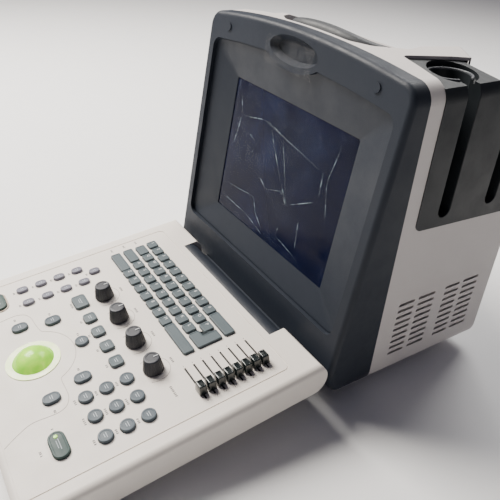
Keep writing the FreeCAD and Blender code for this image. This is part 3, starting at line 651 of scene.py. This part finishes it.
def makeButtons():
    values = buttonSettings
    top = values["top"]
    for name, (places, width, depth, corner) in values["banks"].items():
        items = []
        bars = []
        for x, y, *size in places:
            wide, deep = size or (width, depth)
            cap = capShape("buttonPattern", wide, deep, top, values["foot"], corner,
                           values["border"], values["dish"])
            cap.data.transform(Matrix.Translation((x, y, 0)))
            items.append(cap)
            bars += capBars(x, y, top + values["barLift"], wide * values["barShare"])
        slotName = values["slots"].get(name, "button_grey")
        topFinish = extraFinishes[values["tops"].get(name, "buttonTopPaintedLight")]
        if slotName == "freeze_dark":
            topFinish = finishes["freeze_dark"]
        piece = joined(name + "Caps", items)
        paint(piece, finishes[slotName], topFinish)
        smooth(piece)
        settle(piece, consolePlace, name, [name])
        legend = joined(name + "Legend", bars)
        paint(legend, extraFinishes["inkPale"])
        settle(legend, consolePlace, name)
    print("buttons made")


# rotary knobs and sliders
knobSettings = {
    "places": (-0.0598, -0.015, 0.0299, 0.0748),
    "line": -0.154,
    "base": 0.0107,
    "tip": 0.0081,
    "low": 0.0006,
    "high": 0.0169,
    "sides": 96,        # four to a flute, two of them sunk
    "fluteDepth": 0.00035,
    "markSize": (0.0008, 0.0050, 0.0003),
    "markShift": 0.0045,
}


def makeKnobs():
    values = knobSettings
    height = values["high"] - values["low"]
    middle = (0, 0, values["low"] + height / 2)
    pattern = startCylinder("knobPattern", values["base"], height, middle, values["sides"])
    pickFaces(pattern, lambda f: f.normal.z > 0.9)
    ratio = values["tip"] / values["base"]
    bpy.ops.transform.resize(value=(ratio, ratio, 1))
    leaveEdit()
    roundEdges(pattern, 0.0012, 4, 50)
    pickFaces(pattern, lambda f: f.normal.z > 0.99)
    bpy.ops.mesh.inset(thickness=0.0012, depth=0)
    bpy.ops.mesh.inset(thickness=0.0004, depth=-0.0004)
    leaveEdit()

    def onFlute(face):
        turn = math.atan2(face.center.y, face.center.x) / (2 * math.pi) * values["sides"]
        return abs(face.normal.z) < 0.4 and int(round(turn - 0.5)) % 4 < 2 and face.area > 1e-6
    pickFaces(pattern, onFlute)
    bpy.ops.mesh.inset(thickness=0.00005, depth=-values["fluteDepth"])
    leaveEdit()
    for i, x in enumerate(values["places"]):
        name = "knob_" + str(i + 1)
        knob = copyOf(pattern, "knobCap" + str(i + 1), (x, values["line"], 0))
        paint(knob, finishes["knob_charcoal"])
        smooth(knob)
        settle(knob, consolePlace, name, [name])
        mark = startBox("knobMark" + str(i + 1), values["markSize"],
                        (x, values["line"] + values["markShift"], values["high"] + 0.00002))
        roundEdges(mark, 0.0001)
        paint(mark, extraFinishes["inkLight"])
        settle(mark, consolePlace, name)
    bpy.data.objects.remove(pattern)
    print("knobs made")


sliderSettings = {
    "count": 8,
    "firstLine": -0.128,
    "pitch": 0.00994,
    "restX": 0.126,
    "slot": (0.0905, 0.1355),
    "low": 0.0006,
    "high": 0.01145,
    "length": 0.0109,
    "width": 0.0087,
    "slotWidth": 0.0019,
    "crest": (0.94, 0.80, 1),    # how much the top is narrowed
    "stem": (0.005, 0.0008, 0.006),
    "stemMiddle": -0.0023,
}


def sliderLine(i):
    return sliderSettings["firstLine"] + i * sliderSettings["pitch"]


def makeSliders():
    values = sliderSettings
    height = values["high"] - values["low"]
    size = (values["length"], values["width"], height)
    pattern = startBox("sliderPattern", size, (0, 0, values["low"] + height / 2))
    pickFaces(pattern, lambda f: f.normal.z > 0.9)
    bpy.ops.transform.resize(value=values["crest"])
    leaveEdit()
    roundEdges(pattern, 0.0009, 3)
    pickFaces(pattern, lambda f: f.normal.z > 0.99)
    bpy.ops.mesh.inset(thickness=0.0011, depth=0)
    bpy.ops.mesh.inset(thickness=0.0005, depth=-0.0006)
    leaveEdit()
    for i in range(values["count"]):
        name = "tgc_slider_" + str(i + 1)
        cap = copyOf(pattern, "sliderCap" + str(i + 1), (values["restX"], sliderLine(i), 0))
        stem = startBox("sliderStem", values["stem"], (values["restX"], sliderLine(i), values["stemMiddle"]))
        cap = joined("sliderCap" + str(i + 1), [cap, stem])
        paint(cap, finishes["slider_black"])
        smooth(cap)
        settle(cap, consolePlace, name, [name])
    bpy.data.objects.remove(pattern)
    start, end = values["slot"]
    size = (end - start, values["slotWidth"], 0.0004)
    lines = [startBox("slotLine", size, ((start + end) / 2, sliderLine(i), -0.0008))
             for i in range(values["count"])]
    bottoms = joined("sliderSlots", lines)
    roundEdges(bottoms, 0.0001)
    paint(bottoms, extraFinishes["slotBlack"])
    settle(bottoms, consolePlace, "console")
    print("sliders made")


# ring round the power button and lamp on the freeze button
trimSettings = {
    "ringPlace": (-0.117, -0.2595, 0.0003),
    "ringRadius": 0.0090,
    "ringReach": 0.0076,
    "ringThickness": 0.0009,
    "lampPlace": (0.1015, -0.2595, 0.0030),
    "lampRadius": 0.0019,
}


def makeButtonTrim():
    values = trimSettings
    deselectAll()
    bpy.ops.mesh.primitive_circle_add(vertices=64, radius=values["ringRadius"], fill_type="NOTHING")
    ring = bpy.context.object
    stretchEnds(ring, values["ringReach"])
    bpy.ops.object.convert(target="CURVE")
    ring = bpy.context.object
    ring.data.bevel_depth = values["ringThickness"]
    ring.data.bevel_resolution = 3
    bpy.ops.object.convert(target="MESH")
    ring = bpy.context.object
    ring.name = "powerButtonRing"
    ring.data.transform(Matrix.Translation(values["ringPlace"]))
    paint(ring, extraFinishes["powerRing"])
    smooth(ring, 60)
    settle(ring, consolePlace, "console")
    lamp = startCylinder("freezeLamp", values["lampRadius"], 0.0007, values["lampPlace"], 32)
    roundEdges(lamp, 0.0002, 3)
    paint(lamp, extraFinishes["greenLamp"])
    smooth(lamp)
    settle(lamp, consolePlace, "freeze_button")
    print("button trim made")


# small printed marks beside the controls: rows of little blocks, each a few plain bars
markSettings = {
    "block": 0.0017,
    "pitch": 0.0022,
    "bar": 0.00042,
    "lift": 0.00005,
    "thick": 0.00010,
    "gap": 0.0008,
    "kinds": 5,
    "tick": (0.0016, 0.0004, 0.0001),
    "tickColumns": (0.0875, 0.1385),
}


def blockPatterns():
    values = markSettings
    patterns = []
    while len(patterns) < values["kinds"]:
        bars = []
        for line in (-1, 0, 1):
            size = (values["block"] * random.uniform(0.45, 1.0), values["bar"], values["thick"])
            bars.append(startBox("bar", size, (0, line * values["gap"], values["lift"])))
        upright = random.uniform(-0.5, 0.5) * values["block"]
        bars.append(startBox("bar", (values["bar"], 0.002, values["thick"]), (upright, 0, values["lift"])))
        patterns.append(joined("block", bars))
    return patterns


# Where each row of marks goes, as (middle x, y, number of blocks).
def markList():
    rows = []
    for x in knobSettings["places"]:
        rows.append((x - 0.002, knobSettings["line"] + 0.0205, 4))
    banks = buttonSettings["banks"]
    for name, count in (("round_buttons_left", 3), ("round_buttons_middle", 4), ("round_buttons_right", 3),
                        ("mode_keys", 2), ("function_buttons", 2)):
        places, depth = banks[name][0], banks[name][2]
        for x, y, *size in places:
            rows.append((x, y - depth / 2 - 0.0035, count + (2 if size else 0)))
    rows += [(x - 0.0135, y, 2) for x, y in ((0.0465, -0.2163), (-0.0518, -0.2165), (-0.0025, -0.2004))]
    rows += [(0.0715, -0.2515, 2), (-0.0765, -0.2515, 2), (0.110, -0.2755, 3), (0.0895, -0.2595, 1)]
    rows += [(0.1110, -0.1500, 7), (-0.1170, -0.2755, 3)]
    rows += [(-0.1400, line, 3) for line in (-0.0822, -0.09825, -0.1145)]
    return rows


def makeMarks():
    patterns = blockPatterns()
    blocks = []
    for x, y, count in markList():
        for i in range(count):
            pattern = patterns[random.randrange(len(patterns))]
            blocks.append(copyOf(pattern, "mark", (x + (i - (count - 1) / 2) * markSettings["pitch"], y, 0)))
    for i in range(sliderSettings["count"]):
        for x in markSettings["tickColumns"]:
            place = (x, sliderLine(i), markSettings["lift"])
            blocks.append(startBox("tick", markSettings["tick"], place))
    for pattern in patterns:
        bpy.data.objects.remove(pattern)
    marks = joined("printedMarks", blocks)
    paint(marks, extraFinishes["inkDark"])
    settle(marks, consolePlace, "console")
    print("marks made")


# fine raised outline round the trackball's palm area, and rings round the knobs
outlineSettings = {
    "middle": (-0.005, -0.2505),
    "radius": 0.042,
    "sweep": (22, 158, 6),
    "side": ((0.087, -0.3005), (0.0825, -0.2935), (0.0745, -0.2790), (0.0725, -0.2700), (0.0745, -0.2560),
             (0.0745, -0.2465), (0.0700, -0.2385), (0.0600, -0.2345), (0.0500, -0.2345)),
    "thickness": 0.00032,
    "knobRing": 0.0165,
    "ringSweep": (-30, 215, 12),
}


def makeLine(name, points):
    curve = bpy.data.curves.new(name, "CURVE")
    curve.dimensions = "3D"
    curve.bevel_depth = outlineSettings["thickness"]
    curve.bevel_resolution = 2
    spline = curve.splines.new("NURBS")
    spline.points.add(len(points) - 1)
    for point, (x, y) in zip(spline.points, points):
        point.co = (x, y, 0, 1)
    spline.order_u = 3
    spline.use_endpoint_u = True
    line = bpy.data.objects.new(name, curve)
    bpy.context.scene.collection.objects.link(line)
    deselectAll()
    line.select_set(True)
    bpy.context.view_layer.objects.active = line
    bpy.ops.object.convert(target="MESH")
    return bpy.context.object


def arcPoints(middle, radius, degrees):
    return [(middle[0] + radius * math.cos(math.radians(a)), middle[1] + radius * math.sin(math.radians(a)))
            for a in degrees]


def makeOutlines():
    values = outlineSettings
    middleX = values["middle"][0]
    arc = arcPoints(values["middle"], values["radius"], range(*values["sweep"]))
    left = [(2 * middleX - x, y) for x, y in reversed(values["side"])]
    lines = [makeLine("palmLine", list(values["side"]) + arc + left)]
    for x in knobSettings["places"]:
        ring = arcPoints((x, knobSettings["line"]), values["knobRing"], range(*values["ringSweep"]))
        lines.append(makeLine("knobLine", ring))
    outlines = joined("overlayOutlines", lines)
    paint(outlines, extraFinishes["lineGrey"])
    smooth(outlines, 60)
    settle(outlines, consolePlace, "console")
    print("outlines made")


# clear film left on the display, creased, and a strip of tape over the finger scoop
filmSettings = {
    "left": -0.1055,
    "right": 0.1055,
    "low": 0.0465,
    "high": 0.2050,
    "depth": 0.0143,
    "ridge": 0.0006,
    "ridgeWidth": 0.0030,
    "swell": 0.0004,
    "creaseWidth": 0.0006,
    "creases": (
        ((-0.092, 0.188), (-0.086, 0.166), (-0.094, 0.130)),
        ((-0.032, 0.114), (-0.016, 0.104), (0.012, 0.113), (0.026, 0.102)),
        ((-0.030, 0.176), (-0.004, 0.170), (0.024, 0.106), (0.008, 0.122), (-0.030, 0.176)),
        ((-0.086, 0.166), (-0.042, 0.176), (0.070, 0.158), (0.072, 0.128), (0.028, 0.104)),
        ((-0.088, 0.080), (-0.034, 0.086), (-0.026, 0.070), (-0.008, 0.056)),
        ((0.022, 0.080), (0.018, 0.062), (0.064, 0.054)),
        ((0.050, 0.100), (0.055, 0.062)),
        ((-0.064, 0.152), (-0.048, 0.146), (-0.054, 0.132)),
        ((0.086, 0.192), (0.078, 0.152), (0.088, 0.116)),
        ((-0.100, 0.062), (-0.044, 0.060), (-0.002, 0.050)),
    ),
}
tapeSettings = {"left": -0.046, "right": 0.034, "low": 0.2365, "high": 0.2665, "bend": 0.2415, "drop": 0.0045,
                "lift": 0.0007, "ripple": 0.0003}


def lineGap(x, y, start, end):
    run = (end[0] - start[0], end[1] - start[1])
    share = ((x - start[0]) * run[0] + (y - start[1]) * run[1]) / (run[0] ** 2 + run[1] ** 2)
    share = max(0.0, min(1.0, share))
    return math.hypot(x - start[0] - share * run[0], y - start[1] - share * run[1])


def filmRise(x, y):
    values = filmSettings
    gap = min(lineGap(x, y, line[i], line[i + 1]) for line in values["creases"] for i in range(len(line) - 1))
    ridge = values["ridge"] * max(0.0, 1 - gap / values["ridgeWidth"])
    swell = values["swell"] * (0.5 + 0.5 * noise.noise(Vector((x * 22, y * 22, 3.1))))
    return ridge + swell


def makeSheet(name, edges, columns, rows):
    left, right, low, high = (edges[side] for side in ("left", "right", "low", "high"))
    deselectAll()
    bpy.ops.mesh.primitive_grid_add(x_subdivisions=columns, y_subdivisions=rows, size=1)
    sheet = bpy.context.object
    sheet.name = name
    sheet.scale = (right - left, high - low, 1)
    bpy.ops.object.transform_apply(location=True, rotation=True, scale=True)
    deselectAll()
    sheet.select_set(True)
    bpy.ops.transform.rotate(value=-math.pi / 2, orient_axis="X", orient_type="GLOBAL",
                             center_override=(0, 0, 0))
    bpy.ops.object.transform_apply(location=True, rotation=True, scale=True)
    up = max(point.co.z for point in sheet.data.vertices)
    sheet.data.transform(Matrix.Translation(((left + right) / 2, 0, low + up)))
    return sheet


def makeFilm():
    values = filmSettings
    film = makeSheet("protectiveFilm", values, 120, 90)
    for point in film.data.vertices:
        point.co.y = values["depth"] - filmRise(point.co.x, point.co.z)
    paint(film, extraFinishes["film"])
    smooth(film, 50)
    settle(film, facePlace, "housing")
    foldHighlights = []
    # Pale strips along each crease: painted highlights on the folds.
    for line in values["creases"]:
        for start, end in zip(line, line[1:]):
            foldHighlights.append(foldHighlightStrip(start, end))
    foldHighlights = joined("filmFoldHighlights", foldHighlights)
    paint(foldHighlights, extraFinishes["creaseHighlight"])
    smooth(foldHighlights, 60)
    settle(foldHighlights, facePlace, "housing")
    print("film made")


# One fold highlight: a narrow pale strip along the top of a ridge, pointed at both ends, a painted highlight
# on the fold.
def foldHighlightStrip(start, end):
    values = filmSettings
    length = math.hypot(end[0] - start[0], end[1] - start[1])
    half = values["creaseWidth"] / 2
    strip = makeSheet("fold", {"left": 0, "right": length, "low": -half, "high": half}, 24, 1)
    for point in strip.data.vertices:
        share = point.co.x / length
        taper = math.sin(math.pi * min(0.97, max(0.03, share)))
        point.co.z *= taper * (0.6 + 0.6 * noise.noise(point.co * 300))
    angle = math.atan2(end[1] - start[1], end[0] - start[0])
    strip.data.transform(Matrix.Translation((start[0], 0, start[1])) @ Matrix.Rotation(-angle, 4, "Y"))
    for point in strip.data.vertices:
        point.co.y = values["depth"] - filmRise(point.co.x, point.co.z) - 0.0001
    return strip


def makeTape():
    values = tapeSettings
    tape = makeSheet("clearTape", values, 60, 30)
    for point in tape.data.vertices:
        share = max(0.0, min(1.0, (values["bend"] - point.co.z) / (values["bend"] - values["low"])))
        ripple = values["ripple"] * noise.noise(Vector((point.co.x * 90, point.co.z * 160, 0.4)))
        point.co.y = -values["lift"] + values["drop"] * share + ripple
    paint(tape, extraFinishes["tape"])
    smooth(tape, 50)
    settle(tape, facePlace, "housing")
    print("tape made")


# dark foam dust filters behind the side louvres
filterSettings = {"side": 0.1575, "thickness": 0.002, "from": (0.072, -0.030), "to": (0.206, 0.046)}


def makeFilters():
    values = filterSettings
    (backY, lowZ), (frontY, highZ) = values["from"], values["to"]
    for side, name in ((-1, "leftFilter"), (1, "rightFilter")):
        size = (values["thickness"], frontY - backY, highZ - lowZ)
        pad = startBox(name, size, (side * values["side"], (backY + frontY) / 2, (lowZ + highZ) / 2))
        roundEdges(pad, 0.0004)
        paint(pad, extraFinishes["filterFoam"])
        settle(pad, hingeCorner, "housing")
    print("filters made")


# floor
def makeFloor():
    floor = startBox("floor", (60, 60, 0.02), (0, 0, -0.01))
    roundEdges(floor, 0.001)
    paint(floor, mouldedPlastic("floorPale", (0.95, 0.95, 0.95), 0.6, 60, 0.02, 0.005))


addCamera()
addLights()
dressNodes()
makeKeys()
makeButtons()
makeKnobs()
makeSliders()
makeButtonTrim()
makeMarks()
makeOutlines()
makeFilm()
makeTape()
makeFilters()
makeFloor()
